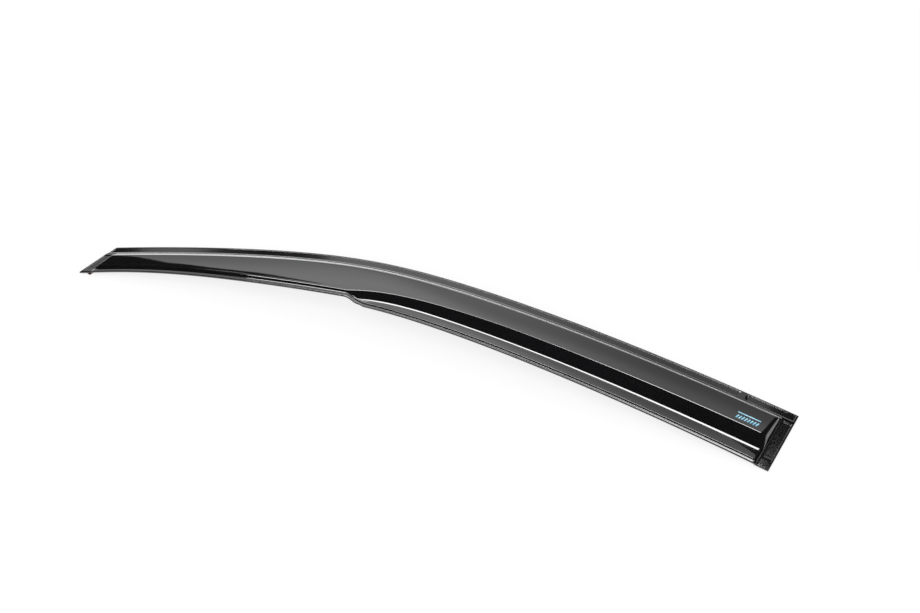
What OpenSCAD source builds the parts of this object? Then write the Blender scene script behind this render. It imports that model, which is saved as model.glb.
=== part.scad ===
/* [Outline] */
// Length along the lower edge, front tip to rear corner
length = 900; // [800:5:1000]
// How far each end line leans back from its lower to its upper corner
end_lean = 20.5; // [14:0.5:30]
// Depth of the part at its front end, from upper to lower edge
front_depth = 50.5; // [44:0.5:58]
// Depth just ahead of the wing
neck_depth = 72; // [67:0.5:76]
// Depth where the wing has reached its full flare
wing_depth = 79.5; // [77:0.5:85]
// Depth at the rear end
rear_depth = 89.5; // [86:0.5:100]
// Angle at which the upper edge climbs from the front end
front_rise = 14; // [10:0.5:18]
// Angle at which the upper edge falls towards the rear
rear_fall = 5; // [2:0.1:7]
// Distance from the front tip at which the upper edge bends over
bend_at = 368; // [300:2:420]
// Half length of the soft bend in the upper edge
bend_soft = 128; // [80:2:180]
// Height of the bow along the part, to follow the door's curve
bow = 34.5; // [15:0.5:60]

/* [Section] */
// Wall thickness of the moulding
wall = 3; // [2.4:0.1:3.2]
// Width of the flat mounting flange along the upper edge
flange_w = 14; // [12:0.5:17]
// Width of the flat flange at each end
end_flange_w = 15; // [12:0.5:20]
// Distance from the upper edge to the crown's ridge
ridge_in = 20; // [19:0.5:23]
// Rise of the ridge above the flange at the front
ridge_h_front = 5; // [3:0.5:6]
// Rise of the ridge above the flange at the rear
ridge_h_rear = 7.2; // [6:0.2:9]
// Width in plan of the narrow chamfer beside the ridge
brow_w = 3; // [2:0.1:4]
// Rise of that chamfer
brow_h = 0.8; // [0.4:0.1:1.4]
// How far the upper face is crowned in its middle
face_crown = 0.5; // [0:0.1:1]
// Rise of the upper face's lower edge at the front
rim_h_front = 2.6; // [2.4:0.1:5]
// The same rise just ahead of the wing
rim_h_neck = 8.5; // [6:0.5:10]
// Rise of the crease above the wing
crease_h_wing = 12.8; // [11:0.2:15]
// Distance from the front tip at which the crease comes nearest the upper edge
crease_mid_at = 524; // [500:2:560]
// Distance from the upper edge to the crease there
crease_in_mid = 53.5; // [51:0.5:56]
// The same distance at the rear
crease_in_rear = 55.5; // [53:0.5:58]
// Draft of the crown's end walls, from upright
end_draft = 30; // [15:1:40]

/* [Wing] */
// Distance from the front tip at which the wing begins
wing_at = 360; // [340:1:400]
// Length of the notch in which the wing's tip grows out
notch_l = 20; // [14:1:26]
// Width in plan of the steep band between the crease and the wing
band_w = 11.5; // [11:0.5:15]
// Rise of the wing's outer edge above the flange at its tip
wing_h_tip = 5; // [4.6:0.1:7]
// Rise of the wing's outer edge above the flange at the rear
wing_h_rear = 2.8; // [2.4:0.1:5]
// How much the valley behind the wing lies below the wing's edge
valley_drop = 0.8; // [0.4:0.1:1.2]

/* [Lip] */
// Width in plan of the flat lip below the wing
lip_w = 2.8; // [2:0.1:4]
// Width in plan of the flat lip ahead of the wing
front_lip_w = 6; // [5:0.1:7]
// Width in plan of the small step from the edge down to the lip
step_w = 0.8; // [0.5:0.1:1.2]
// Depth of that step ahead of the wing
step_front = 2.2; // [1.4:0.1:2.4]
// Depth of the step below the wing
step_rear = 1.6; // [1:0.1:2.2]

/* [Tape pockets] */
// Depth of the shallow pockets moulded in the flange
pocket_d = 0.5; // [0.2:0.1:0.8]
// Rim left around each pocket
pocket_rim = 2.2; // [1.6:0.1:3]
// Length of the short pocket at the rear of the upper flange
rear_pocket_l = 42; // [30:1:60]
// Width of the bridge between the two upper pockets
bridge_w = 6; // [4:0.5:10]
// How far the upper flange's front end steps back from the front flange
front_jog = 1.5; // [0.5:0.1:2.5]

/* [Tape] */
// Thickness of the foam mounting tape
tape_t = 1.1; // [0.8:0.1:1.6]
// Distance from an edge of the flange to the tape
tape_inset = 2; // [1.5:0.1:2.8]
// Thickness of the release liner
liner_t = 0.2; // [0.1:0.05:0.3]
// Gap drawn between faces that are stuck together
bond_gap = 0.05; // [0.02:0.01:0.1]

/* [Hidden] */

// Plan blends: a smooth step, a plain mix and a smooth ramp between two stations
function smooth(t) = let (c = max(0, min(1, t))) c * c * (3 - 2 * c);
function mix(a, b, t) = a + (b - a) * t;
function ramp(x, x0, x1, a, b) = mix(a, b, smooth((x - x0) / (x1 - x0)));
function slide(x, x0, x1, a, b) = mix(a, b, max(0, min(1, (x - x0) / (x1 - x0))));

// Upper edge in plan: two straight runs joined by a hyperbola
rise = tan(front_rise);
fall = -tan(rear_fall);
function bend(x) = (rise + fall) / 2 * (x - bend_at)
                   - (rise - fall) / 2 * sqrt(pow(x - bend_at, 2) + pow(bend_soft, 2));
function upper_y(x) = front_depth + bend(x) - bend(0);

// The bow lifts the middle of the part off the line through its two ends
function bow_z(x) = bow * 4 * (x / length) * (1 - x / length);

// Distances from the upper edge, measured across the part, at a place along it
wing_end = wing_at + notch_l;
flare_l = 8;
flare_cut = 2;
deepen_from = 40;
crease_ease = 4;
tip_gap = 0.8;
front_spread = 4;
wing_spread = 1.2;
function wing_share(x) = smooth((x - wing_at) / notch_l);
function crease_share(x) = smooth((x - wing_at + notch_l) / notch_l);
function front_edge_in(x) = ramp(x, deepen_from, wing_at, front_depth, neck_depth);
function wing_edge_in(x) = slide(x, wing_end, length, wing_depth, rear_depth)
                           - flare_cut * (1 - smooth((x - wing_end) / flare_l));
function edge_in(x) = mix(front_edge_in(x), wing_edge_in(x), wing_share(x));
function front_rim_in(x) = front_edge_in(x) - front_lip_w - step_w;
function wing_rim_in(x) = wing_edge_in(x) - lip_w - step_w;
function rim_in(x) = mix(front_rim_in(x), wing_rim_in(x), wing_share(x));
function spread(x) = mix(front_spread, wing_spread, crease_share(x));
crease_in_neck = neck_depth - front_lip_w - step_w - 2 * spread(wing_at);
function to_mid(x) = max(0, min(1, (crease_mid_at - x) / (crease_mid_at - wing_at)));
function wing_crease_in(x) = x < crease_mid_at
    ? mix(crease_in_mid, crease_in_neck, pow(to_mid(x), crease_ease))
    : ramp(x, crease_mid_at, length, crease_in_mid, crease_in_rear);
function crease_in(x) = mix(front_rim_in(x) - 2 * spread(x), wing_crease_in(x), crease_share(x));
function wing_valley_in(x) = min(wing_crease_in(x) + band_w, wing_rim_in(x) - tip_gap);
function valley_in(x) = mix(front_rim_in(x) - spread(x), wing_valley_in(x), wing_share(x));

// Rises above the flange at the same places
climb_l = 220;
function ridge_h(x) = mix(ridge_h_front, ridge_h_rear, x / length);
function crease_h(x) = x < wing_at ? mix(rim_h_front, rim_h_neck, x / wing_at)
                                   : ramp(x, wing_at, wing_at + climb_l, rim_h_neck, crease_h_wing);
function wing_h(x) = mix(wing_h_tip, wing_h_rear, (x - wing_at) / (length - wing_at));

// The upper face is crowned from the chamfer to the rim ahead of the wing, or to the crease above it
face_from = ridge_in + brow_w;
function crowned(t) = 4 * face_crown * t * (1 - t);
function on_face(x, s, rim_s, rim_h) = let (t = (s - face_from) / (rim_s - face_from))
    mix(ridge_h(x) + brow_h, rim_h, t) + crowned(t);
function face_to(x) = mix(front_rim_in(x), crease_in(x), crease_share(x));
function face_part(x) = (crease_in(x) - face_from) / (face_to(x) - face_from);
function crease_rise(x) = mix(on_face(x, crease_in(x), front_rim_in(x), crease_h(x)),
                              crease_h(x), crease_share(x));
function valley_rise(x) = mix(on_face(x, valley_in(x), front_rim_in(x), crease_h(x)),
                              wing_h(x) - valley_drop, wing_share(x));
function rim_rise(x) = mix(crease_h(x), wing_h(x), wing_share(x));
function step_h(x) = mix(step_front, step_rear, wing_share(x));

// A corner's place along the part: each station leans back by end_lean from edge to edge
function lean_x(x, s) = x + end_lean * (1 - s / edge_in(x));

// Corners of the section at a station, as [distance from the upper edge, rise]
function corners(x, up) = let (
    xr = lean_x(x, ridge_in), xc = lean_x(x, crease_in(x)),
    xv = lean_x(x, valley_in(x)), xw = lean_x(x, rim_in(x)),
    lip_h = rim_rise(xw) - step_h(xw)) [
    [flange_w, 0],
    [ridge_in, up * ridge_h(xr)],
    [ridge_in + brow_w, up * (ridge_h(xr) + brow_h)],
    [crease_in(xc), up * crease_rise(xc)],
    [valley_in(xv), up * valley_rise(xv)],
    [rim_in(xw), up * rim_rise(xw)],
    [rim_in(xw) + step_w, up * lip_h],
    [edge_in(x), up * lip_h]];

// Section helpers: direction, inward normal and the mitre of two walls at a corner
function unit(v) = v / norm(v);
function inward(v) = [v[1], -v[0]];
mitre_limit = 1.25;
function mitre(a, b) = let (n = unit(inward(a) + inward(b)))
    n * wall * min(mitre_limit, 1 / (n * inward(a)));

// A corner rounded by three points, none of them further along a wall than a share of its length
tangent = [1.5, 0.7, 0.7, 1.8, 3.5, 0.5];
wall_share = 0.4;
function arc3(p, c, q, d) = let (
    a = min(d, wall_share * norm(c - p)), b = min(d, wall_share * norm(q - c)),
    m = c - a * unit(c - p), n = c + b * unit(q - c))
    [m, 0.25 * m + 0.5 * c + 0.25 * n, n];

// Corners keep their order from the upper edge to the lower one, also where the wing's tip is narrow
least_gap = 0.3;
function in_order(c) = [for (i = [0 : len(c) - 1])
    [max([for (k = [0 : i]) c[k][0] + least_gap * (i - k)]), c[i][1]]];

// A line through the corners: three points at each rounded one, some along the crowned face and one
// in the middle of the wing; share is how much of the whole crown stands between chamfer and crease
last_corner = 5;
arc_points = 3;
face_steps = [0.25, 0.5, 0.75];
function rounded(first, c, share) = let (
    before = concat([first], c),
    arcs = [for (i = [0 : last_corner]) arc3(before[i], c[i], c[i + 1], tangent[i])],
    face = [for (t = face_steps) mix(c[2], c[3], t) + [0, share * crowned(t)]])
    concat(arcs[0], arcs[1], arcs[2], face, arcs[3], arcs[4], [(c[4] + c[5]) / 2], arcs[5], [c[6]]);

// One station's section: an outer line and, point for point, its inner line
cut_r = 0.5;
pocket_wall = 0.6;
sunk_from = arc_points;
sunk_to = 5 * arc_points + len(face_steps);
function section(x, up, top_pocket, end_pocket) = let (
    c = in_order(corners(x, up)),
    before = concat([[pocket_rim, 0]], c),
    d = [for (i = [0 : last_corner]) mitre(unit(c[i] - before[i]), unit(c[i + 1] - c[i]))],
    back = in_order([for (i = [0 : last_corner + 1]) c[i] + d[min(i, last_corner)]]),
    share = up * pow(face_part(x), 2),
    line = rounded([pocket_rim, 0], c, share),
    back_line = rounded([pocket_rim, -wall], back, share),
    flat_s = [cut_r, pocket_rim, pocket_rim + pocket_wall,
              flange_w - pocket_rim - pocket_wall, flange_w - pocket_rim],
    flat_h = [0, 0, -pocket_d * top_pocket, -pocket_d * top_pocket, 0],
    outer = concat([[0, -cut_r]], [for (i = [0 : 4]) [flat_s[i], flat_h[i]]],
        [for (i = [0 : len(line) - 1])
            line[i] - [0, i >= sunk_from && i < sunk_to ? pocket_d * end_pocket : 0]],
        [c[7] - [cut_r, 0], c[7] - [0, cut_r]]),
    inner = concat([[0, cut_r - wall]], [for (s = flat_s) [s, -wall]], back_line,
        [c[7] - [cut_r, wall], c[7] - [0, wall - cut_r]]))
    [outer, inner];

// Stations along the part: [place, crown 0 or 1, wall lean, pocket in upper flange, in end flange, end]
wall_run = tan(end_draft);
inner_run = wall * tan((90 - end_draft) / 2);
split = length - rear_pocket_l - end_lean;
head_l = 1;
head_low = 0.9;
function flange_stations(side) = let (w = end_flange_w, r = pocket_rim, p = pocket_wall) [
    [0, 0, 0, 0, 0, side], [r, 0, 0, 0, 0, side], [r + p, 0, 0, 1, 1, side],
    [w - r - p, 0, 0, 1, 1, side], [w - r, 0, 0, 1, 0, side], [w, 0, 1, 1, 0, side],
    [w + head_l / 3, head_low, 1, 1, 0, side], [w + head_l, 1, 1, 1, 0, side]];
function from_rear(list) = [for (i = [len(list) - 1 : -1 : 0])
    let (s = list[i]) [length - s[0], s[1], s[2], s[3], s[4], s[5]]];
function run(x0, x1, step) = let (n = ceil((x1 - x0) / step)) [for (i = [0 : n]) mix(x0, x1, i / n)];
function plain(xs, top_pocket) = [for (x = xs) [x, 1, 0, top_pocket, 0, 0]];
wall_clear = 16;
crown_from = end_flange_w + wall_clear;
pitch = 26;
notch_pitch = 2.6;
tip_pitch = 8;
tip_to = wing_end + 5 * tip_pitch;
stations = concat(
    flange_stations(1),
    plain(run(crown_from, wing_at - notch_l - notch_pitch, pitch), 1),
    plain(run(wing_at - notch_l, wing_end + flare_l, notch_pitch), 1),
    plain(run(wing_end + flare_l + notch_pitch, tip_to, tip_pitch), 1),
    plain(run(tip_to + pitch / 2, split - bridge_w, pitch), 1),
    plain([split - bridge_w + pocket_wall, split - pocket_wall], 0),
    plain(run(split, length - crown_from, pitch), 1),
    from_rear(flange_stations(-1)));

// A point of the moulding from its station, its section point and how far that has moved along
function place(x, s, h, along) = let (px = lean_x(x, s) + along)
    [px, upper_y(px) - s, bow_z(x + along) + h];
function jog(x, s) = s < flange_w - pocket_rim / 2 ? front_jog * max(0, 1 - x / end_flange_w) : 0;
function wall_along(st, h) = st[2] * st[5] * st[1] * max(0, h) * wall_run;
outer_grid = [for (st = stations) let (sec = section(st[0], st[1], st[3], st[4]))
    [for (p = sec[0]) place(st[0], p[0], p[1], wall_along(st, p[1]) + jog(st[0], p[0]))]];
inner_grid = [for (st = stations) let (sec = section(st[0], st[1], st[3], st[4]))
    [for (i = [0 : len(sec[1]) - 1]) let (p = sec[1][i])
        place(st[0], p[0], p[1],
              wall_along(st, sec[0][i][1]) + st[2] * st[5] * inner_run + jog(st[0], p[0]))]];

// The part stands in the middle of its own box, on the lowest of its tape liners
stack = wall + tape_t + liner_t + 2 * bond_gap;
function end_slope(x) = atan(4 * bow / length * norm([end_lean, edge_in(x)]) / edge_in(x));
function stack_foot(x) = tape_inset * sin(end_slope(x)) - stack * cos(end_slope(x));
floor_z = min(stack_foot(0), stack_foot(length));
plan_y = [for (grid = [outer_grid, inner_grid], row = grid, p = row) p[1]];
centre = [(length + end_lean) / 2, (min(plan_y) + max(plan_y)) / 2, floor_z];

// Two grids of points, an outer and an inner skin, closed along their four sides
module skin_pair(outer, inner) {
    n = len(outer);
    m = len(outer[0]);
    back = n * m;
    function at(i, k) = i * m + k;
    points = concat([for (r = outer) each r], [for (r = inner) each r]);
    faces = concat(
        [for (i = [0 : n - 2], k = [0 : m - 2]) each [
            [at(i, k), at(i, k + 1), at(i + 1, k + 1)],
            [at(i, k), at(i + 1, k + 1), at(i + 1, k)],
            [back + at(i, k), back + at(i + 1, k + 1), back + at(i, k + 1)],
            [back + at(i, k), back + at(i + 1, k), back + at(i + 1, k + 1)]]],
        [for (i = [0 : n - 2]) each [
            [at(i, 0), at(i + 1, 0), back + at(i + 1, 0)],
            [at(i, 0), back + at(i + 1, 0), back + at(i, 0)],
            [at(i, m - 1), back + at(i + 1, m - 1), at(i + 1, m - 1)],
            [at(i, m - 1), back + at(i, m - 1), back + at(i + 1, m - 1)]]],
        [for (k = [0 : m - 2]) each [
            [at(0, k), back + at(0, k + 1), at(0, k + 1)],
            [at(0, k), back + at(0, k), back + at(0, k + 1)],
            [at(n - 1, k), at(n - 1, k + 1), back + at(n - 1, k + 1)],
            [at(n - 1, k), back + at(n - 1, k + 1), back + at(n - 1, k)]]]);
    translate(-centre) polyhedron(points, faces);
}

// A strip stuck under the upper flange, between two stations, at a depth below its outer face
module strip(x0, x1, depth, thick) {
    s0 = tape_inset;
    s1 = flange_w - tape_inset;
    xs = run(x0, x1, pitch);
    skin_pair([for (x = xs) [place(x, s0, -depth, 0), place(x, s1, -depth, 0)]],
              [for (x = xs) [place(x, s0, -depth - thick, 0), place(x, s1, -depth - thick, 0)]]);
}

// A flat strip stuck under an end flange, following the end line, side 1 at the front and -1 at the rear
module end_strip(x, side, depth, thick) {
    d = edge_in(x);
    across = atan(d / end_lean);
    l = norm([d, end_lean]);
    w = (end_flange_w - 2 * tape_inset) * sin(across);
    skew = (tape_inset + w) / tan(across);
    near = tape_inset + (side > 0 ? skew : 0);
    far = l - tape_inset - (side > 0 ? 0 : skew);
    foot = place(x, d, 0, 0) - centre;
    translate(foot) rotate([0, 0, across]) rotate([-side * end_slope(x), 0, 0])
        translate([near, side > 0 ? -tape_inset - w : tape_inset, -depth - thick])
        cube([far - near, w, thick]);
}

tape_top_z = wall + bond_gap;
liner_top_z = tape_top_z + tape_t + bond_gap;
strip_from = end_flange_w + 1;
strip_to = split - bridge_w - 1;
rear_strip_to = length - end_flange_w - 1;

module visor_shell() {
    color([0.07, 0.07, 0.08]) skin_pair(outer_grid, inner_grid);
}

module tape_front() {
    color([0.16, 0.16, 0.17]) end_strip(0, 1, tape_top_z, tape_t);
}

module tape_top() {
    color([0.16, 0.16, 0.17]) strip(strip_from, strip_to, tape_top_z, tape_t);
}

module tape_top_rear() {
    color([0.16, 0.16, 0.17]) strip(split, rear_strip_to, tape_top_z, tape_t);
}

module tape_rear() {
    color([0.16, 0.16, 0.17]) end_strip(length, -1, tape_top_z, tape_t);
}

module liner_front() {
    color([0.72, 0.1, 0.09]) end_strip(0, 1, liner_top_z, liner_t);
}

module liner_top() {
    color([0.72, 0.1, 0.09]) strip(strip_from, strip_to, liner_top_z, liner_t);
}

module liner_top_rear() {
    color([0.72, 0.1, 0.09]) strip(split, rear_strip_to, liner_top_z, liner_t);
}

module liner_rear() {
    color([0.72, 0.1, 0.09]) end_strip(length, -1, liner_top_z, liner_t);
}

visor_shell();
tape_front();
tape_top();
tape_top_rear();
tape_rear();
liner_front();
liner_top();
liner_top_rear();
liner_rear();
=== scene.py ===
import math
import bpy
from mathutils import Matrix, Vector


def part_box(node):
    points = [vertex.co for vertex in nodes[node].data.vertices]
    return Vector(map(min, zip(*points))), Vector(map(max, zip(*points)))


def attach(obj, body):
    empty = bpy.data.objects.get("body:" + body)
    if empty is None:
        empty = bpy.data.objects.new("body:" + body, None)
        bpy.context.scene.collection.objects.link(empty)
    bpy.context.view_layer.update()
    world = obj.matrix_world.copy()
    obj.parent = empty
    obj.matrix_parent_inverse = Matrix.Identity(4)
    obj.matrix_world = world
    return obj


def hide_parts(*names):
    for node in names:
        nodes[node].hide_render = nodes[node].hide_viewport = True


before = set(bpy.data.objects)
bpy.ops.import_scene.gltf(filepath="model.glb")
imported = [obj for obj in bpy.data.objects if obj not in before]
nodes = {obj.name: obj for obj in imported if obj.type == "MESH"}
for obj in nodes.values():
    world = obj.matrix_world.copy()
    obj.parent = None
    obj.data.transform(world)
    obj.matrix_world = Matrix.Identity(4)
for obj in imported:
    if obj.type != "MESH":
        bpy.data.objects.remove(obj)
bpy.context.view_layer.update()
print("stage 1: frame loaded with", len(nodes), "nodes")

# Sizes of the moulding in millimetres and degrees. They are the CAD part's, but for the heights of crease and
# crown and the pockets' depth, and the fine relief of pockets, wing and lip is added here
visor = {
    "length": 900, "endLean": 20.5, "frontDepth": 50.5, "neckDepth": 72, "wingDepth": 79.5, "rearDepth": 89.5,
    "frontRise": 14, "rearFall": 5, "bendAt": 368, "bendSoft": 128, "bow": 34.5,
    "wall": 3, "stepThird": 0.3, "flangeWidth": 14, "endFlangeWidth": 15, "endDraft": 30,
    "ridgeIn": 20, "ridgeFront": 5, "ridgeRear": 7.2, "browWidth": 3, "browHeight": 0.8, "faceCrown": 0.4,
    "rimFront": 2.6, "rimNeck": 8.5, "creaseHeight": 12.57, "climb": 220, "deepenFrom": 40,
    "creaseMidAt": 524, "creaseInMid": 53.5, "creaseInRear": 55.5, "creaseEase": 4,
    "wingAt": 360, "notch": 20, "bandWidth": 11.5, "wingTip": 5, "wingRear": 2.8, "valleyDrop": 0.8,
    "flare": 8, "flareCut": 2, "tipGap": 0.8, "frontSpread": 0.55,
    "lip": 2.8, "frontLip": 6, "stepWidth": 0.8, "stepFront": 2.2, "stepRear": 1.6,
    "pocketDepth": 0.4, "pocketRim": 2.2, "rearPocket": 42, "bridge": 6, "pocketWall": 0.35, "nearWall": 1.4,
    "runOut": 6, "pocketOver": 9, "frontTilt": 1.3, "rearTilt": -0.1, "tiltFrom": 100, "tiltTo": 600,
    "frontJog": 1.5, "jogClear": 1.1, "wingDish": 0.22, "lipFall": 0.4, "flatTo": 12.1,
    "cutRound": 0.5, "cutGuard": 0.12, "footShare": 0.08, "mitreLimit": 1.25, "leastGap": 0.3, "wallShare": 0.4,
    "tape": 1.1, "liner": 0.2, "bondGap": 0.05, "tapeInset": 2,
    "pitch": 11, "notchPitch": 1.5, "easePitch": 4, "bridgePitch": 0.6, "endClear": 14, "smoothing": 1,
}


def clamp(value, low=0.0, high=1.0):
    return max(low, min(high, value))


def smooth(t):
    c = clamp(t)
    return c * c * (3 - 2 * c)


def mix(a, b, t):
    return a + (b - a) * t


def ramp(x, x0, x1, a, b):
    return mix(a, b, smooth((x - x0) / (x1 - x0)))


def slide(x, x0, x1, a, b):
    return mix(a, b, clamp((x - x0) / (x1 - x0)))


# Plan: distances from the upper edge at a place along the visor
def wingShare(x):
    return smooth((x - visor["wingAt"]) / visor["notch"])


def creaseShare(x):
    return smooth((x - visor["wingAt"] + visor["notch"]) / visor["notch"])


def frontEdgeIn(x):
    return ramp(x, visor["deepenFrom"], visor["wingAt"], visor["frontDepth"], visor["neckDepth"])


def wingEdgeIn(x):
    wingEnd = visor["wingAt"] + visor["notch"]
    full = slide(x, wingEnd, visor["length"], visor["wingDepth"], visor["rearDepth"])
    return full - visor["flareCut"] * (1 - smooth((x - wingEnd) / visor["flare"]))


def edgeIn(x):
    return mix(frontEdgeIn(x), wingEdgeIn(x), wingShare(x))


def frontRimIn(x):
    return frontEdgeIn(x) - visor["frontLip"] - visor["stepWidth"]


def wingRimIn(x):
    return wingEdgeIn(x) - visor["lip"] - visor["stepWidth"]


def rimIn(x):
    return mix(frontRimIn(x), wingRimIn(x), wingShare(x))


def wingCreaseIn(x):
    mid, start = visor["creaseMidAt"], visor["wingAt"]
    neck = visor["neckDepth"] - visor["frontLip"] - visor["stepWidth"] - 2 * visor["frontSpread"]
    if x < mid:
        return mix(visor["creaseInMid"], neck, clamp((mid - x) / (mid - start)) ** visor["creaseEase"])
    return ramp(x, mid, visor["length"], visor["creaseInMid"], visor["creaseInRear"])


def creaseIn(x):
    return mix(frontRimIn(x) - 2 * visor["frontSpread"], wingCreaseIn(x), creaseShare(x))


def valleyIn(x):
    wing = min(wingCreaseIn(x) + visor["bandWidth"], wingRimIn(x) - visor["tipGap"])
    return mix(frontRimIn(x) - visor["frontSpread"], wing, wingShare(x))


# Rises above the flange at the same places
faceFrom = visor["ridgeIn"] + visor["browWidth"]


def ridgeRise(x):
    return mix(visor["ridgeFront"], visor["ridgeRear"], x / visor["length"])


def creaseHeight(x):
    if x < visor["wingAt"]:
        return mix(visor["rimFront"], visor["rimNeck"], x / visor["wingAt"])
    return ramp(x, visor["wingAt"], visor["wingAt"] + visor["climb"], visor["rimNeck"], visor["creaseHeight"])


def wingHeight(x):
    return mix(visor["wingTip"], visor["wingRear"], (x - visor["wingAt"]) / (visor["length"] - visor["wingAt"]))


def crowned(t):
    return 4 * visor["faceCrown"] * t * (1 - t)


def onFace(x, s, rimS, rimH):
    t = (s - faceFrom) / (rimS - faceFrom)
    return mix(ridgeRise(x) + visor["browHeight"], rimH, t) + crowned(t)


def facePart(x):
    faceTo = mix(frontRimIn(x), creaseIn(x), creaseShare(x))
    return (creaseIn(x) - faceFrom) / (faceTo - faceFrom)


def creaseRise(x):
    return mix(onFace(x, creaseIn(x), frontRimIn(x), creaseHeight(x)), creaseHeight(x), creaseShare(x))


# Ahead of the wing the band and the wing are folded into the step under the rim
def valleyRise(x):
    front = onFace(x, valleyIn(x), frontRimIn(x), creaseHeight(x)) - visor["stepThird"] * visor["stepFront"]
    return mix(front, wingHeight(x) - visor["valleyDrop"], wingShare(x))


def rimRise(x):
    return mix(creaseHeight(x), wingHeight(x), wingShare(x))


# The rake of both ends: how far a point is carried along the visor, less and less towards the lower edge
def leanOf(x, s):
    return visor["endLean"] * (1 - s / edgeIn(x))


# Keeps each point a little further in than the ones before it
def inOrder(points):
    gap = visor["leastGap"]
    return [Vector((max(q[0] + gap * (i - k) for k, q in enumerate(points[:i + 1])), p[1]))
            for i, p in enumerate(points)]


# The corners of the outer line, each in from the upper edge and up; at the end walls the crown isn't up yet
def corners(x, up):
    xr, xc = x + leanOf(x, visor["ridgeIn"]), x + leanOf(x, creaseIn(x))
    xv, xw = x + leanOf(x, valleyIn(x)), x + leanOf(x, rimIn(x))
    lipRise = rimRise(xw) - mix(visor["stepFront"], visor["stepRear"], wingShare(xw))
    folded = 2 * visor["stepThird"] * visor["stepFront"] * (1 - wingShare(xw))
    return inOrder([
        Vector((visor["flangeWidth"], 0)),
        Vector((visor["ridgeIn"], up * ridgeRise(xr))),
        Vector((faceFrom, up * (ridgeRise(xr) + visor["browHeight"]))),
        Vector((creaseIn(xc), up * creaseRise(xc))),
        Vector((valleyIn(xv), up * valleyRise(xv))),
        Vector((rimIn(xw), up * (rimRise(xw) - folded))),
        Vector((rimIn(xw) + visor["stepWidth"], up * (lipRise - visor["lipFall"] * (1 - wingShare(xw))))),
        Vector((edgeIn(x), up * lipRise))])


# The step from a corner of the outer line to the inner one that keeps the wall's thickness
def mitre(a, b):
    first, second = Vector((a[1], -a[0])), Vector((b[1], -b[0]))
    middle = (first + second).normalized()
    return middle * visor["wall"] * min(visor["mitreLimit"], 1 / middle.dot(first))


# Each corner of the section: its rounding's steps, and the shares of the wall after it that carry points
cornerSteps = [(4, (0.45, 0.55)), (3, ()), (2, (0.1, 0.3, 0.5, 0.7, 0.9)), (4, (0.3, 0.7)),
               (6, (0.1, 0.3, 0.5, 0.7, 0.9)), (4, ())]


# How far each rounding reaches along the wall before and after its corner; the rim that runs on into the
# crease is broad towards the face ahead of the wing
fillets = {
    "riser": 1.5, "ridge": 1.1, "brow": 0.7, "frontRimBefore": 3.2, "frontRimAfter": 0.6, "crease": 0.8,
    "creaseFrom": 345, "creaseTo": 372, "softenFrom": 560, "softenTo": 780, "soften": 1,
    "folded": 0.3, "valley": 3.5, "wingRim": 0.9, "wingFrom": 364, "wingTo": 378,
}


def reachesAt(x):
    crease, wing = (x, fillets["creaseFrom"], fillets["creaseTo"]), (x, fillets["wingFrom"], fillets["wingTo"])
    soften = ramp(x, fillets["softenFrom"], fillets["softenTo"], 0, fillets["soften"])
    before = ramp(*crease, fillets["frontRimBefore"], fillets["crease"]) + soften
    after = ramp(*crease, fillets["frontRimAfter"], fillets["crease"]) + soften
    even = [fillets["riser"], fillets["ridge"], fillets["brow"]]
    late = [ramp(*wing, fillets["folded"], fillets["valley"]), ramp(*wing, fillets["folded"], fillets["wingRim"])]
    return [(r, r) for r in even] + [(before, after)] + [(r, r) for r in late]


# A line with all its corners rounded, the face crowned and the wing dished
def rounded(first, points, share, dish, reaches):
    line = []
    before = [first] + points
    limit = visor["wallShare"]
    for i, (steps, between) in enumerate(cornerSteps):
        p, c, q = before[i], points[i], points[i + 1]
        m = c + (p - c).normalized() * min(reaches[i][0], limit * (c - p).length)
        n = c + (q - c).normalized() * min(reaches[i][1], limit * (q - c).length)
        for k in range(steps + 1):
            t = k / steps
            line.append(m * (1 - t) ** 2 + c * 2 * t * (1 - t) + n * t * t)
        if i == 2:  # the crowned face runs from the chamfer to the crease
            line += [c.lerp(q, t) + Vector((0, share * crowned(t))) for t in between]
        else:
            reachNext = min(reaches[min(i + 1, 5)][0], limit * (q - c).length)
            last = q + (c - q).normalized() * reachNext
            hollow = dish if i == 4 else 0
            line += [n.lerp(last, t) - Vector((0, 4 * hollow * t * (1 - t))) for t in between]
    foot = points[6]
    return line + [foot.lerp(line[-1], visor["footShare"]), foot, foot + Vector((visor["cutGuard"], 0))]


# A pocket is a round-ended bath along the flange, but the outer round ends would lie past the visor's own ends,
# so straight walls close the pockets there, clear of the ends by the rim
split = visor["length"] - visor["rearPocket"] - visor["endLean"]
pockets = [(visor["pocketRim"] - visor["pocketOver"], split - visor["bridge"]),
           (split, visor["length"] + visor["pocketOver"])]


def pocketShare(x, s):
    low, high = visor["pocketRim"], visor["flangeWidth"] - visor["pocketRim"]
    middle, radius = (high + low) / 2, (high - low) / 2
    wall = mix(visor["pocketWall"], visor["nearWall"], clamp((s - middle) / radius))
    share = 0
    for x0, x1 in pockets:
        cx = clamp(x, x0 + radius, x1 - radius)
        rim = smooth((radius - math.hypot(x - cx, s - middle)) / wall)
        share = max(share, rim * smooth((x1 - x) / visor["runOut"]))
    ends = min(x - visor["pocketRim"], visor["length"] - visor["pocketRim"] - x)
    return share * smooth(ends / visor["pocketWall"])


# Rows across the flange, close together at the pockets' walls
flangeRows = [visor["cutRound"], 1.4, 2.1, 2.25, 2.4, 2.55, 2.8, 4.2, 7, 9.8, 10.4, 10.8, 11.2, 11.6, 11.95]
footPoints = 6  # points after the last rounding
sunkFrom = len(flangeRows) + cornerSteps[0][0] + 3  # the end pockets run from half way up the crown's first wall
sunkTo = -(len(cornerSteps[4][1]) + cornerSteps[5][0] + footPoints)  # to the wing's first point


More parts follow.
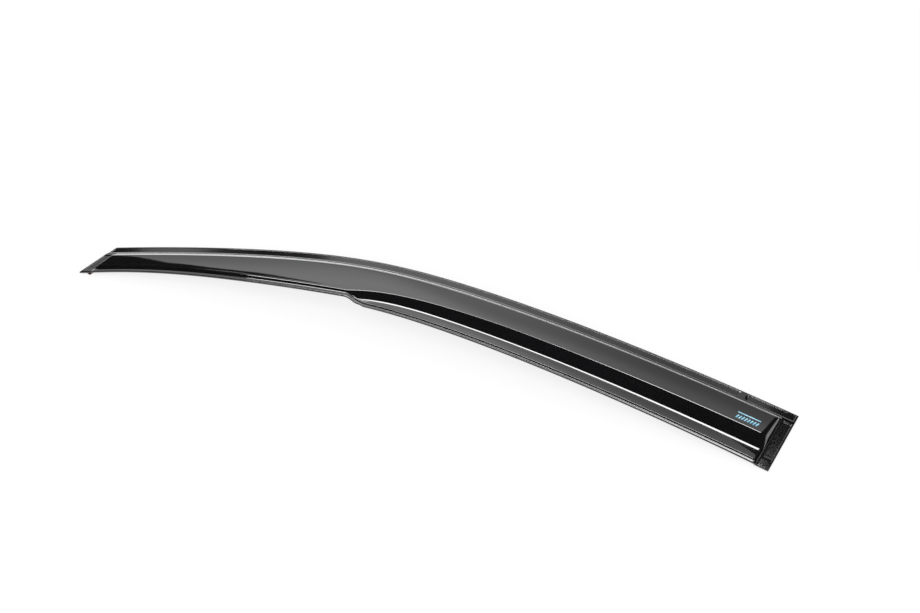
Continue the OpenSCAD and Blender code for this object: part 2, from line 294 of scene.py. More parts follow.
# The outer and the inner line across the moulding, and how deep each outer point lies in a pocket
def section(x, up, endPocket):
    c = corners(x, up)
    before = [Vector((visor["pocketRim"], 0))] + c
    d = [mitre((c[i] - before[i]).normalized(), (c[i + 1] - c[i]).normalized()) for i in range(6)]
    back = inOrder([c[i] + d[min(i, 5)] for i in range(7)])
    wall, cut, guard = visor["wall"], visor["cutRound"], visor["cutRound"] + visor["cutGuard"]
    share = up * facePart(x) ** 2
    dish = up * wingShare(x) * visor["wingDish"]
    reaches = reachesAt(x)
    outer = [Vector((0, -cut))] + [Vector((s, 0)) for s in flangeRows]
    outer += rounded(Vector((visor["flatTo"], 0)), c, share, dish, reaches)
    outer += [c[7] - Vector((guard, 0)), c[7] - Vector((cut, 0)), c[7] - Vector((0, cut))]
    inner = [Vector((0, cut - wall))] + [Vector((s, -wall)) for s in flangeRows]
    inner += rounded(Vector((visor["flatTo"], -wall)), back, share, dish, reaches)
    inner += [c[7] - Vector((guard, wall)), c[7] - Vector((cut, wall)), c[7] - Vector((0, wall - cut))]
    tilt = ramp(x, visor["tiltFrom"], visor["tiltTo"], visor["frontTilt"], visor["rearTilt"])
    grains = [0.0] * len(outer)
    for k in range(1, len(flangeRows) + 1):
        grains[k] = pocketShare(x, outer[k][0])
        across = outer[k][0] / visor["flangeWidth"] * 2 - 1
        outer[k][1] -= visor["pocketDepth"] * grains[k] * (1 + tilt * across)
    for k in range(sunkFrom, len(outer) + sunkTo):
        grains[k] = endPocket
        outer[k][1] -= visor["pocketDepth"] * endPocket
    return outer, inner, grains


def run(x0, x1, step):
    n = math.ceil((x1 - x0) / step)
    return [mix(x0, x1, i / n) for i in range(n + 1)]


# Stations over the front end: place, how far the crown is up, how far the wall leans, share of the end pocket
def endStations():
    w, r = visor["endFlangeWidth"], visor["pocketRim"]
    rim = [(0, 0), (0.5, 0), (1.2, 0), (r - 0.15, 0), (r, 0.1), (r + 0.15, 0.85), (r + 0.3, 1), (r + 1.2, 1)]
    wall = [(-0.5, 0, 0.4), (0, 0.1, 1), (0.1, 0.4, 1), (0.25, 0.7, 1), (0.5, 0.84, 1), (0.9, 0.93, 1),
            (1.5, 0.98, 1), (2.4, 1, 1), (6, 1, 1)]
    flat = rim + [(w / 2, 1)] + [(w - x, pocket) for x, pocket in reversed(rim[3:])]
    return [(x, 0, 0, pocket) for x, pocket in flat] + [(w + x, up, lean, 0) for x, up, lean in wall]


# All stations, with the side that the end wall leans to; they crowd at the notch and at the pockets' bridge
def stations():
    length, p, clear = visor["length"], visor["pitch"], visor["endFlangeWidth"] + visor["endClear"]
    start, end = visor["wingAt"] - visor["notch"], visor["wingAt"] + visor["notch"]
    bridgeFrom = split - visor["bridge"]
    runs = [(clear, start - 2, p), (start, end + visor["flare"], visor["notchPitch"]),
            (end + 11, end + 50, visor["easePitch"]), (end + 60, bridgeFrom - 16, p),
            (bridgeFrom - visor["runOut"], split + 6, visor["bridgePitch"]), (split + 10, length - clear, p)]
    front = [(*station, 1) for station in endStations()]
    rear = [(length - x, up, lean, pocket, -1) for x, up, lean, pocket, _ in reversed(front)]
    return front + [(x, 1, 0, 0, 0) for x0, x1, step in runs for x in run(x0, x1, step)] + rear


# The moulding laid flat: along the visor, in from its upper edge, and up, with the lean kept beside
def flatCage():
    draft, wall = math.tan(math.radians(visor["endDraft"])), visor["wall"]
    innerRun = wall * math.tan(math.radians((90 - visor["endDraft"]) / 2))
    rows = stations()
    points, leans, trims, grains = [], [], [], []
    for skin in (0, 1):
        for x, up, leaning, endPocket, side in rows:
            lines = section(x, up, endPocket)
            for k, p in enumerate(lines[skin]):
                along = leaning * side * up * max(0, lines[0][k][1]) * draft + leaning * side * innerRun * skin
                if p[0] < visor["flangeWidth"] - visor["jogClear"]:
                    along += visor["frontJog"] * max(0, 1 - x / visor["endFlangeWidth"])
                points.append((x + along, p[0], p[1]))
                leans.append(leanOf(x, p[0]))
                trims.append(float(k == 0 or k == len(lines[0]) - 1 or x in (0, visor["length"])))
                grains.append(0.0 if skin else lines[2][k])
    n, m = len(rows), len(points) // len(rows) // 2
    quads = []
    for i in range(n - 1):
        for k in range(m - 1):
            a = i * m + k
            quads.append((a + m, a + m + 1, a + 1, a))
            quads.append((n * m + a, n * m + a + 1, n * m + a + m + 1, n * m + a + m))
        for k, turn in ((0, 1), (m - 1, -1)):
            a = i * m + k
            quads.append((a, n * m + a, n * m + a + m, a + m)[::turn])
    for i, turn in ((0, -1), (n - 1, 1)):
        for k in range(m - 1):
            a = i * m + k
            quads.append((a, n * m + a, n * m + a + 1, a + 1)[::turn])
    mesh = bpy.data.meshes.new("visorCage")
    mesh.from_pydata(points, [], quads)
    mesh.attributes.new("lean", "FLOAT", "POINT").data.foreach_set("value", leans)
    mesh.attributes.new("trim", "FLOAT", "POINT").data.foreach_set("value", trims)
    mesh.attributes.new("grain", "FLOAT", "POINT").data.foreach_set("value", grains)
    obj = bpy.data.objects.new("visorShell", mesh)
    bpy.context.scene.collection.objects.link(obj)
    print("stage 2: cage of", n, "stations by", m, "points")
    return obj


def addNode(tree, kind, links=None, **values):
    node = tree.nodes.new(kind)
    for name, value in values.items():
        setattr(node, name, value)
    for socket, source in (links or {}).items():
        if isinstance(source, bpy.types.NodeSocket):
            tree.links.new(source, node.inputs[socket])
        else:
            node.inputs[socket].default_value = source
    return node


def hexColour(code):
    linear = []
    for i in (0, 2, 4):
        c = int(code[i:i + 2], 16) / 255
        linear.append(c / 12.92 if c <= 0.04045 else ((c + 0.055) / 1.055) ** 2.4)
    return (*linear, 1.0)


def newTree(name, sockets):
    tree = bpy.data.node_groups.new(name, "GeometryNodeTree")
    for label, kind in {"Geometry": "Geometry", **sockets}.items():
        tree.interface.new_socket(label, in_out="INPUT", socket_type="NodeSocket" + kind)
    tree.interface.new_socket("Geometry", in_out="OUTPUT", socket_type="NodeSocketGeometry")
    return tree, addNode(tree, "NodeGroupInput").outputs


# The door's curve: lays a flat strip of the visor along the bent upper edge and lifts it on the bow
def makeDoorCurve():
    tree, given = newTree("doorCurve", {
        "Length": "Float", "Bow": "Float", "Edge Offset": "Float", "Mean Slope": "Float", "Half Turn": "Float",
        "Bend At": "Float", "Bend Soft": "Float", "Centre": "Vector", "Smoothing": "Int", "Material": "Material"})
    math2 = "ShaderNodeMath"
    place = addNode(tree, "GeometryNodeInputPosition").outputs[0]
    parts = addNode(tree, "ShaderNodeSeparateXYZ", {0: place}).outputs
    lean = addNode(tree, "GeometryNodeInputNamedAttribute", {"Name": "lean"}, data_type="FLOAT").outputs[0]
    along = addNode(tree, math2, {0: parts[0], 1: lean}, operation="ADD").outputs[0]
    away = addNode(tree, math2, {0: along, 1: given["Bend At"]}, operation="SUBTRACT").outputs[0]
    soft = addNode(tree, math2, {0: given["Bend Soft"], 1: given["Bend Soft"]}, operation="MULTIPLY").outputs[0]
    square = addNode(tree, math2, {0: away, 1: away, 2: soft}, operation="MULTIPLY_ADD").outputs[0]
    root = addNode(tree, math2, {0: square}, operation="SQRT").outputs[0]
    turned = addNode(tree, math2, {0: root, 1: given["Half Turn"]}, operation="MULTIPLY").outputs[0]
    sloped = addNode(tree, math2, {0: away, 1: given["Mean Slope"], 2: given["Edge Offset"]},
                     operation="MULTIPLY_ADD").outputs[0]
    edge = addNode(tree, math2, {0: sloped, 1: turned}, operation="SUBTRACT").outputs[0]
    across = addNode(tree, math2, {0: edge, 1: parts[1]}, operation="SUBTRACT").outputs[0]
    share = addNode(tree, math2, {0: parts[0], 1: given["Length"]}, operation="DIVIDE").outputs[0]
    rest = addNode(tree, math2, {0: 1.0, 1: share}, operation="SUBTRACT").outputs[0]
    arch = addNode(tree, math2, {0: share, 1: rest}, operation="MULTIPLY").outputs[0]
    rise = addNode(tree, math2, {0: given["Bow"], 1: 4.0}, operation="MULTIPLY").outputs[0]
    height = addNode(tree, math2, {0: arch, 1: rise, 2: parts[2]}, operation="MULTIPLY_ADD").outputs[0]
    bent = addNode(tree, "ShaderNodeCombineXYZ", {0: along, 1: across, 2: height}).outputs[0]
    centred = addNode(tree, "ShaderNodeVectorMath", {0: bent, 1: given["Centre"]},
                      operation="SUBTRACT").outputs[0]
    metres = addNode(tree, "ShaderNodeVectorMath", {0: centred, "Scale": 0.001}, operation="SCALE").outputs[0]
    laid = addNode(tree, "GeometryNodeSetPosition", {"Geometry": given["Geometry"],
                                                     "Position": metres}).outputs[0]
    fine = addNode(tree, "GeometryNodeSubdivisionSurface", {"Mesh": laid, "Level": given["Smoothing"]}).outputs[0]
    soften = addNode(tree, "GeometryNodeSetShadeSmooth", {"Geometry": fine}).outputs[0]
    real = addNode(tree, "GeometryNodeRealizeInstances", {"Geometry": soften}).outputs[0]
    done = addNode(tree, "GeometryNodeSetMaterial", {"Geometry": real, "Material": given["Material"]}).outputs[0]
    addNode(tree, "NodeGroupOutput", {0: done})
    return tree


def addModifier(obj, tree, inputs):
    modifier = obj.modifiers.new(tree.name, "NODES")
    modifier.node_group = tree
    for item in tree.interface.items_tree:
        if item.in_out == "INPUT" and item.name in inputs:
            value = inputs[item.name]
            modifier[item.identifier] = float(value) if item.socket_type == "NodeSocketFloat" else value


# The shell's own box gives the row frame's origin in the part's millimetres; it rests on its liners
def floorDrop():
    stack = visor["wall"] + visor["tape"] + visor["liner"] + 2 * visor["bondGap"]
    lowest = []
    for x in (0, visor["length"]):
        depth = edgeIn(x)
        slope = math.atan(4 * visor["bow"] / visor["length"] * math.hypot(visor["endLean"], depth) / depth)
        lowest.append(visor["tapeInset"] * math.sin(slope) - stack * math.cos(slope))
    return min(lowest)


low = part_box("visor_shell")[0]
centre = ((visor["length"] + visor["endLean"]) / 2, -low[1] * 1000, floorDrop())


def layOnDoor(obj, material, smoothing):
    rise = math.tan(math.radians(visor["frontRise"]))
    fall = -math.tan(math.radians(visor["rearFall"]))
    halfTurn, mean = (rise - fall) / 2, (rise + fall) / 2
    startBend = -mean * visor["bendAt"] - halfTurn * math.hypot(visor["bendAt"], visor["bendSoft"])
    addModifier(obj, doorCurve, {
        "Length": visor["length"], "Bow": visor["bow"], "Edge Offset": visor["frontDepth"] - startBend,
        "Mean Slope": mean, "Half Turn": halfTurn, "Bend At": visor["bendAt"], "Bend Soft": visor["bendSoft"],
        "Centre": centre, "Smoothing": smoothing, "Material": material})
    graph = bpy.context.evaluated_depsgraph_get()
    plainMesh = bpy.data.meshes.new_from_object(obj.evaluated_get(graph))
    obj.modifiers.clear()
    obj.data = plainMesh
    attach(obj, "root")


def newMaterial(name):
    material = bpy.data.materials.new(name)
    material.use_nodes = True
    material.node_tree.nodes.clear()
    return material, material.node_tree


# Injection moulded acrylic with a smoke tint, nearly black at 3 mm: the polished tool leaves a mirror gloss with
# a faint flow haze, a fine spark-eroded grain makes the taped pockets a little duller, the cut edges stay satin
def makeAcrylic():
    material, tree = newMaterial("smokedAcrylicMoulded")
    place = addNode(tree, "ShaderNodeTexCoord").outputs["Object"]
    # Clouds of 70 mm
    cloud = addNode(tree, "ShaderNodeTexNoise", {"Vector": place, "Scale": 14.0, "Detail": 3.0}).outputs[0]
    haze = addNode(tree, "ShaderNodeMapRange", {"Value": cloud, "From Min": 0.3, "From Max": 0.7,
                                                "To Min": 0.05, "To Max": 0.09}).outputs[0]
    trim = addNode(tree, "ShaderNodeAttribute", attribute_name="trim").outputs["Fac"]
    edge = addNode(tree, "ShaderNodeMapRange", {"Value": trim, "From Min": 0.2, "From Max": 0.9,
                                                "To Min": 0.0, "To Max": 0.35}).outputs[0]
    grain = addNode(tree, "ShaderNodeAttribute", attribute_name="grain").outputs["Fac"]
    # Grain of 0.6 mm
    sparks = addNode(tree, "ShaderNodeTexNoise", {"Vector": place, "Scale": 1600.0, "Detail": 2.0}).outputs[0]
    pits = addNode(tree, "ShaderNodeMath", {0: sparks, 1: 0.02, 2: 0.02}, operation="MULTIPLY_ADD").outputs[0]
    matt = addNode(tree, "ShaderNodeMath", {0: grain, 1: pits, 2: edge}, operation="MULTIPLY_ADD").outputs[0]
    rough = addNode(tree, "ShaderNodeMath", {0: haze, 1: matt}, operation="ADD").outputs[0]
    gloss = addNode(tree, "ShaderNodeMath", {0: grain, 1: -0.5, 2: 1.0}, operation="MULTIPLY_ADD").outputs[0]
    tint = addNode(tree, "ShaderNodeValToRGB", {"Fac": cloud})
    tint.color_ramp.elements[0].color = hexColour("070708")
    tint.color_ramp.elements[1].color = hexColour("0c0c0e")
    # Waves of 17 mm
    wave = addNode(tree, "ShaderNodeTexNoise", {"Vector": place, "Scale": 60.0, "Detail": 2.0}).outputs[0]
    bump = addNode(tree, "ShaderNodeBump", {"Height": wave, "Strength": 0.02, "Distance": 0.0002}).outputs[0]
    veil = addNode(tree, "ShaderNodeMath", {0: matt, 1: 0.02}, operation="ADD").outputs[0]
    shader = addNode(tree, "ShaderNodeBsdfPrincipled", {
        "Base Color": tint.outputs[0], "Roughness": rough, "Normal": bump, "IOR": 1.49,
        "Coat Weight": gloss, "Coat Roughness": veil, "Coat IOR": 1.49, "Coat Normal": bump})
    addNode(tree, "ShaderNodeOutputMaterial", {"Surface": shader.outputs[0]})
    return material


# Closed-cell acrylic foam tape, cut from a roll: matt dark grey with fine open cells on its cut sides
def makeFoam():
    material, tree = newMaterial("acrylicFoamTape")
    place = addNode(tree, "ShaderNodeTexCoord").outputs["Object"]
    cells = addNode(tree, "ShaderNodeTexVoronoi", {"Vector": place, "Scale": 2500.0}).outputs[0]  # 0.4 mm cells
    tone = addNode(tree, "ShaderNodeValToRGB", {"Fac": cells})
    tone.color_ramp.elements[0].color = hexColour("232326")
    tone.color_ramp.elements[1].color = hexColour("3a3a3d")
    bump = addNode(tree, "ShaderNodeBump", {"Height": cells, "Strength": 0.3, "Distance": 0.0002}).outputs[0]
    shader = addNode(tree, "ShaderNodeBsdfPrincipled", {"Base Color": tone.outputs[0], "Roughness": 0.85,
                                                        "Normal": bump})
    addNode(tree, "ShaderNodeOutputMaterial", {"Surface": shader.outputs[0]})
    return material


# Polyethylene release liner, blown film: red, a little cloudy, with a soft sheen
def makeLiner():
    material, tree = newMaterial("polyethyleneLiner")
    place = addNode(tree, "ShaderNodeTexCoord").outputs["Object"]
    # Clouds of 11 mm
    cloud = addNode(tree, "ShaderNodeTexNoise", {"Vector": place, "Scale": 90.0, "Detail": 3.0}).outputs[0]
    tone = addNode(tree, "ShaderNodeValToRGB", {"Fac": cloud})
    tone.color_ramp.elements[0].color = hexColour("a81812")
    tone.color_ramp.elements[1].color = hexColour("c4281c")
    bump = addNode(tree, "ShaderNodeBump", {"Height": cloud, "Strength": 0.1, "Distance": 0.0005}).outputs[0]
    shader = addNode(tree, "ShaderNodeBsdfPrincipled", {"Base Color": tone.outputs[0], "Roughness": 0.3,
                                                        "Normal": bump, "IOR": 1.51})
    addNode(tree, "ShaderNodeOutputMaterial", {"Surface": shader.outputs[0]})
    return material


# Pad-printed ink: light blue, laid on in one thin coat, so a little uneven and less glossy than the shell
def makeInk():
    material, tree = newMaterial("padPrintedInk")
    place = addNode(tree, "ShaderNodeTexCoord").outputs["Object"]
    # Clouds of 4 mm
    cloud = addNode(tree, "ShaderNodeTexNoise", {"Vector": place, "Scale": 250.0, "Detail": 3.0}).outputs[0]
    tone = addNode(tree, "ShaderNodeValToRGB", {"Fac": cloud})
    tone.color_ramp.elements[0].position, tone.color_ramp.elements[1].position = 0.35, 0.65
    tone.color_ramp.elements[0].color = hexColour("5cb4d6")
    tone.color_ramp.elements[1].color = hexColour("b4e4f2")
    shader = addNode(tree, "ShaderNodeBsdfPrincipled", {"Base Color": tone.outputs[0], "Roughness": 0.35,
                                                        "IOR": 1.5})
    addNode(tree, "ShaderNodeOutputMaterial", {"Surface": shader.outputs[0]})
    return material


acrylic, foam, liner, ink = makeAcrylic(), makeFoam(), makeLiner(), makeInk()
doorCurve = makeDoorCurve()
cage = flatCage()

# A plain mark by the rear corner, in flat millimetres: a row of short slanted drops under one line
rainMark = {
    "Start": (843.0, 43.4, 0.0), "Count": 8, "Pitch": 3.4, "Drop Length": 5.4, "Slant": -1.9,
    "Line From": (840.2, 39.4, 0.0), "Line Length": 27.6, "width": 1.6, "height": 0.1, "step": 0.7,
}
# A raised ring in the rear end flange, where the mould was filled
gateMark = {"at": (894.6, 18.2), "radius": 1.5, "sides": 24, "width": 0.5, "height": 0.12, "step": 0.7}
laying = {"above": 80, "reach": 200.0, "sides": 10}  # a line's start, its longest drop and its bead's sides


# The mark's drops, set out along a row, and the line over them
def makeRainRow():
    tree, given = newTree("rainRow", {
        "Start": "Vector", "Count": "Int", "Pitch": "Float", "Drop Length": "Float", "Slant": "Float",
        "Line From": "Vector", "Line Length": "Float"})
    pitch = addNode(tree, "ShaderNodeCombineXYZ", {0: given["Pitch"]}).outputs[0]
    drop = addNode(tree, "ShaderNodeCombineXYZ", {0: given["Slant"], 1: given["Drop Length"]}).outputs[0]
    reach = addNode(tree, "ShaderNodeCombineXYZ", {0: given["Line Length"]}).outputs[0]
    places = addNode(tree, "GeometryNodeMeshLine", {"Count": given["Count"], "Start Location": given["Start"],
                                                    "Offset": pitch}).outputs[0]
    oneDrop = addNode(tree, "GeometryNodeMeshLine", {"Count": 2, "Offset": drop}).outputs[0]
    drops = addNode(tree, "GeometryNodeInstanceOnPoints", {"Points": places, "Instance": oneDrop}).outputs[0]
    line = addNode(tree, "GeometryNodeMeshLine", {"Count": 2, "Start Location": given["Line From"],
                                                  "Offset": reach}).outputs[0]
    real = addNode(tree, "GeometryNodeRealizeInstances", {"Geometry": drops}).outputs[0]
    both = addNode(tree, "GeometryNodeJoinGeometry", {0: real})
    tree.links.new(line, both.inputs[0])
    addNode(tree, "NodeGroupOutput", {0: both.outputs[0]})
    return tree


# Drops a line onto the flat moulding from above and gives it a low round-backed thickness there
def makeBead():
    tree, given = newTree("laidBead", {"Target": "Object", "Width": "Float", "Height": "Float", "Step": "Float"})
    path = addNode(tree, "GeometryNodeMeshToCurve", {"Mesh": given["Geometry"]}).outputs[0]
    fine = addNode(tree, "GeometryNodeResampleCurve", {"Curve": path, "Length": given["Step"]}, mode="LENGTH")
    place = addNode(tree, "GeometryNodeInputPosition").outputs[0]
    above = addNode(tree, "ShaderNodeVectorMath", {0: place, 1: (0, 0, laying["above"])},
                    operation="ADD").outputs[0]
    target = addNode(tree, "GeometryNodeObjectInfo", {"Object": given["Target"]}).outputs["Geometry"]
    lean = addNode(tree, "GeometryNodeInputNamedAttribute", {"Name": "lean"}, data_type="FLOAT").outputs[0]
    ray = addNode(tree, "GeometryNodeRaycast", {
        "Target Geometry": target, "Attribute": lean, "Source Position": above,
        "Ray Direction": (0, 0, -1), "Ray Length": laying["reach"]}, data_type="FLOAT").outputs
    laid = addNode(tree, "GeometryNodeSetPosition", {"Geometry": fine.outputs[0], "Selection": ray["Is Hit"],
                                                     "Position": ray["Hit Position"]}).outputs[0]
    kept = addNode(tree, "GeometryNodeStoreNamedAttribute", {"Geometry": laid, "Name": "lean",
                                                             "Value": ray["Attribute"]}, data_type="FLOAT")
    upright = addNode(tree, "GeometryNodeSetCurveNormal", {"Curve": kept.outputs[0]}, mode="Z_UP").outputs[0]
    ring = addNode(tree, "GeometryNodeCurvePrimitiveCircle", {"Resolution": laying["sides"],
                                                              "Radius": 1.0}).outputs[0]
    size = addNode(tree, "ShaderNodeCombineXYZ", {0: given["Width"], 1: given["Height"], 2: 1.0}).outputs[0]
    profile = addNode(tree, "GeometryNodeTransform", {"Geometry": ring, "Scale": size}).outputs[0]
    tube = addNode(tree, "GeometryNodeCurveToMesh", {"Curve": upright, "Profile Curve": profile,
                                                     "Fill Caps": True}).outputs[0]
    turned = addNode(tree, "GeometryNodeFlipFaces", {"Mesh": tube}).outputs[0]
    addNode(tree, "NodeGroupOutput", {0: turned})
    return tree


bead = makeBead()


def makeMark(name, points, edges, first, sizes, material):
    mesh = bpy.data.meshes.new(name)
    mesh.from_pydata(points, edges, [])
    obj = bpy.data.objects.new(name, mesh)
    bpy.context.scene.collection.objects.link(obj)
    if first:
        addModifier(obj, first, sizes)
    addModifier(obj, bead, {"Target": cage, "Width": sizes["width"] / 2, "Height": sizes["height"],
                           "Step": sizes["step"]})
    layOnDoor(obj, material, 0)
    print("mark", name, "with", len(obj.data.polygons), "faces")


makeMark("rainMark", [(0, 0, 0)], [], makeRainRow(), rainMark, ink)
(gateX, gateS), gateRadius, gateSides = gateMark["at"], gateMark["radius"], gateMark["sides"]
turns = [2 * math.pi * i / gateSides for i in range(gateSides)]
circle = [(gateX + gateRadius * math.cos(a), gateS + gateRadius * math.sin(a), 0) for a in turns]
closed = [(i, (i + 1) % gateSides) for i in range(gateSides)]
makeMark("gateMark", circle, closed, None, gateMark, acrylic)

layOnDoor(cage, acrylic, visor["smoothing"])
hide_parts("visor_shell")
print("stage 3: shell with", len(cage.data.polygons), "faces")

for name, node in nodes.items():
    kind = foam if name.startswith("tape") else liner if name.startswith("liner") else acrylic
    for slot in node.material_slots:
        slot.material = kind

# Studio: white table and glowing backdrop, dark cloth round and over the camera, a bright strip above the
# far side
studio = {
    "aim": (0.0272, 0.0564, 0.0), "azimuth": 20.29, "elevation": 49.0, "distance": 1.4065, "lens": 43.04,
    "floorHalf": 6.5, "floorGlow": 0.78, "fill": 0.75,
    "key": 1.7, "keyAzimuth": 10, "keyElevation": 55, "keySize": 4.0, "keyAway": 4.0,
}
strip = {"azimuth": 182, "elevation": 65, "away": 5.0, "long": 5.3, "slide": 0.55, "wide": 1.25, "radiance": 10.5}
cloth = {"away": 7.0, "step": 2, "from": 235, "to": 150, "low": 39.4, "rise": 21.5,
         "climbFrom": 226, "climbOver": 22, "cornerFrom": 227, "corner": 3, "skirt": -2, "rows": 8}
backdrop = {
    "away": 8.0, "from": 236, "to": 146, "tiers": (14, 20, 26, 32, 37, 42, 46, 50, 54, 58, 62),
    "step": 3, "left": -1.8, "right": 1.7, "rightShare": 0.5, "topTone": 2.0,
    "tones": ((0.0, 0.85), (0.45, 0.85), (0.52, 0.9), (0.57, 1.1), (0.62, 1.5), (0.67, 1.7), (0.77, 1.45),
              (0.86, 1.2)),
}
lowBand = {"away": 8.5, "from": 242, "to": 146, "step": 3, "tiers": (0.5, 7, 13), "tone": 4.0, "right": 2.4,
           "share": 0.6}


def direction(azimuth, elevation):
    a, e = math.radians(azimuth), math.radians(elevation)
    return Vector((math.sin(a) * math.cos(e), -math.cos(a) * math.cos(e), math.sin(e)))


def standAt(obj, azimuth, elevation, away, aim=(0, 0, 0)):
    back = direction(azimuth, elevation)
    obj.location = Vector(aim) + back * away
    obj.rotation_mode = "QUATERNION"
    obj.rotation_quaternion = (-back).to_track_quat("-Z", "Y")
    bpy.context.scene.collection.objects.link(obj)


# The share of plain white that camera, mirror and see-through rays meet
def seenRays(tree, share):
    ray = addNode(tree, "ShaderNodeLightPath").outputs
    seen = addNode(tree, "ShaderNodeMath", {0: ray["Is Camera Ray"], 1: ray["Is Glossy Ray"]},
                   operation="MAXIMUM").outputs[0]
    seen = addNode(tree, "ShaderNodeMath", {0: seen, 1: ray["Is Transmission Ray"]},
                   operation="MAXIMUM").outputs[0]
    return addNode(tree, "ShaderNodeMath", {0: seen, 1: share}, operation="MULTIPLY").outputs[0]


def makeCamera():
    data = bpy.data.cameras.new("camera")
    data.sensor_width, data.lens = 36, studio["lens"]
    camera = bpy.data.objects.new("camera", data)
    standAt(camera, studio["azimuth"], studio["elevation"], studio["distance"], studio["aim"])
    bpy.context.scene.camera = camera


def makeLight(name, azimuth, elevation, away, sizes, radiance):
    data = bpy.data.lights.new(name, "AREA")
    data.shape, data.size, data.size_y = "RECTANGLE", *sizes
    data.energy = radiance * 4 * sizes[0] * sizes[1]  # watts that give that radiance
    light = bpy.data.objects.new(name, data)
    standAt(light, azimuth, elevation, away)
    light.visible_camera = False
    return light


def stageMesh(name, points, faces, shader, values):
    mesh = bpy.data.meshes.new(name)
    mesh.from_pydata(points, [], faces)
    obj = bpy.data.objects.new(name, mesh)
    bpy.context.scene.collection.objects.link(obj)
    material, tree = newMaterial(name + "Face")
    surface = addNode(tree, shader, values).outputs[0]
    addNode(tree, "ShaderNodeOutputMaterial", {"Surface": surface})
    mesh.materials.append(material)
    return obj


def onlyInGloss(obj):
    obj.visible_camera = obj.visible_diffuse = obj.visible_shadow = False


# Adds faces through columns of points, each column one step further round
def addSheet(points, faces, columns):
    for i, column in enumerate(columns):
        for k, spot in enumerate(column):
            points.append(spot)
            if i and k:
                a, n = len(points) - 1, len(column)
                faces.append((a, a - 1, a - n - 1, a - n))


def clothColumn(azimuth, bottom):
    rows = cloth["rows"]
    return [direction(azimuth, mix(bottom, 90, k / rows)) * cloth["away"] for k in range(rows + 1)]


# Cloth all round up to the zenith, but for a window at the far side whose top climbs from left to right
def makeCloth():
    points, faces = [], []
    addSheet(points, faces, [clothColumn(a, cloth["skirt"])
                             for a in run(cloth["from"], cloth["to"] + 360, cloth["step"])])
    far = []
    for a in run(cloth["to"], cloth["from"], cloth["step"]):
        climb = math.sin(math.pi / 2 * clamp((cloth["climbFrom"] - a) / cloth["climbOver"])) ** 2
        corner = cloth["corner"] * smooth((a - cloth["cornerFrom"]) / (cloth["from"] - cloth["cornerFrom"]))
        far.append(clothColumn(a, cloth["low"] + cloth["rise"] * climb - corner))
    addSheet(points, faces, far)
    onlyInGloss(stageMesh("blackCloth", points, faces, "ShaderNodeBsdfDiffuse", {"Color": hexColour("3a3a3a")}))


# A curved card that stands behind the far side and glows in steps of height, fading towards its right end
def makeCard(name, card, shade):
    points, faces = [], []
    addSheet(points, faces, [[direction(azimuth, tier) * card["away"] for tier in card["tiers"]]
                             for azimuth in run(card["to"], card["from"], card["step"])])
    obj = stageMesh(name, points, faces, "ShaderNodeEmission", {})
    tree = obj.data.materials[0].node_tree
    emission = tree.nodes[0]
    spot = addNode(tree, "ShaderNodeTexCoord").outputs["Object"]
    sides = addNode(tree, "ShaderNodeSeparateXYZ", {0: spot}).outputs
    shade(tree, sides, emission)
    onlyInGloss(obj)


def shadeBackdrop(tree, sides, emission):
    fade = addNode(tree, "ShaderNodeMapRange", {
        "Value": sides[0], "From Min": backdrop["left"], "From Max": backdrop["right"],
        "To Min": 1.0, "To Max": backdrop["rightShare"]}, interpolation_type="SMOOTHSTEP").outputs[0]
    up = addNode(tree, "ShaderNodeMath", {0: sides[2], 1: backdrop["away"]}, operation="DIVIDE").outputs[0]
    level = addNode(tree, "ShaderNodeFloatCurve", {"Value": up})
    points, tones, top = level.mapping.curves[0].points, backdrop["tones"], backdrop["topTone"]
    points[0].location, points[1].location = (0.0, tones[0][1] / top), (1.0, tones[-1][1] / top)
    for height, tone in tones[1:]:
        points.new(height, tone / top)
    level.mapping.update()
    shaded = addNode(tree, "ShaderNodeMath", {0: level.outputs[0], 1: fade}, operation="MULTIPLY").outputs[0]
    full = addNode(tree, "ShaderNodeMath", {0: shaded, 1: top}, operation="MULTIPLY").outputs[0]
    tree.links.new(full, emission.inputs["Strength"])


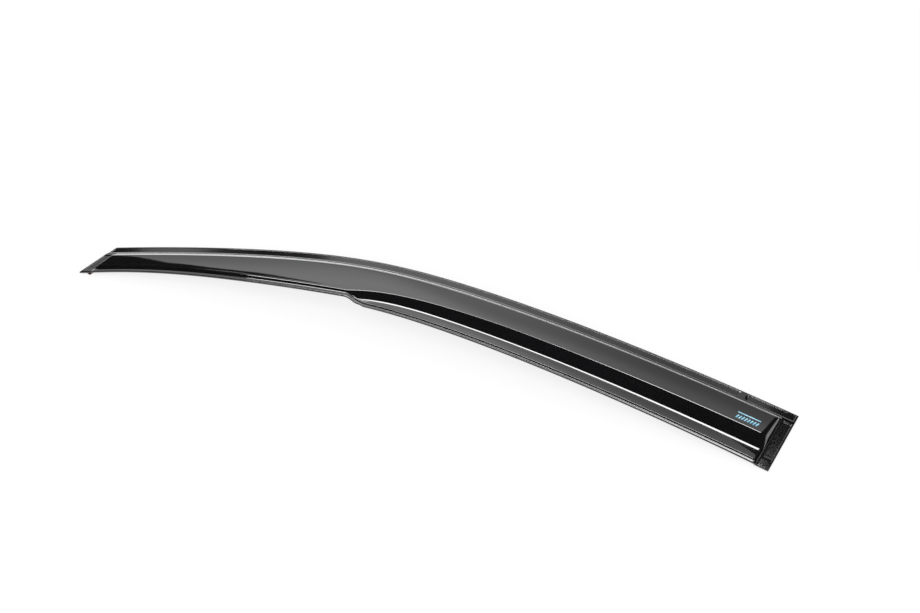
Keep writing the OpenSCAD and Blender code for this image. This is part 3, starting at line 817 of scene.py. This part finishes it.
def shadeBand(tree, sides, emission):
    fade = addNode(tree, "ShaderNodeMapRange", {
        "Value": sides[0], "From Min": -lowBand["right"], "From Max": lowBand["right"],
        "To Min": lowBand["tone"], "To Max": lowBand["tone"] * lowBand["share"]}).outputs[0]
    tree.links.new(fade, emission.inputs["Strength"])


makeCamera()
half = studio["floorHalf"]
table = stageMesh("whiteTable", [(-half, -half, 0), (half, -half, 0), (half, half, 0), (-half, half, 0)],
                  [(0, 1, 2, 3)], "ShaderNodeBsdfDiffuse", {"Color": hexColour("fafafa")})
tableTree = table.data.materials[0].node_tree
paint, output = tableTree.nodes[0].outputs[0], tableTree.nodes[1].inputs[0]
glow = addNode(tableTree, "ShaderNodeEmission", {"Color": (1, 1, 1, 1), "Strength": 1.0}).outputs[0]
seen = seenRays(tableTree, studio["floorGlow"])
lifted = addNode(tableTree, "ShaderNodeMixShader", {0: seen, 1: paint, 2: glow})
tableTree.links.new(lifted.outputs[0], output)
makeCloth()
makeCard("backdropCard", backdrop, shadeBackdrop)
makeCard("lowBand", lowBand, shadeBand)
stripLight = makeLight("stripLight", strip["azimuth"], strip["elevation"], strip["away"],
                       (strip["long"], strip["wide"]), strip["radiance"])
stripLight.location += stripLight.rotation_quaternion @ Vector((strip["slide"], 0, 0))
stripLight.visible_diffuse = False
keyLight = makeLight("keyLight", studio["keyAzimuth"], studio["keyElevation"], studio["keyAway"],
                     (studio["keySize"], studio["keySize"]), studio["key"])
keyLight.visible_glossy = False

world = bpy.data.worlds.new("studioWorld")
bpy.context.scene.world = world
world.use_nodes = True
tree = world.node_tree
tree.nodes.clear()
seen = seenRays(tree, 1.0)
dim = addNode(tree, "ShaderNodeBackground", {"Color": (1, 1, 1, 1), "Strength": studio["fill"]}).outputs[0]
white = addNode(tree, "ShaderNodeBackground", {"Color": (1, 1, 1, 1), "Strength": 1.0}).outputs[0]
blend = addNode(tree, "ShaderNodeMixShader", {0: seen, 1: dim, 2: white}).outputs[0]
addNode(tree, "ShaderNodeOutputWorld", {"Surface": blend})

bpy.context.scene.view_settings.view_transform = "Standard"
print("stage 4: studio ready")
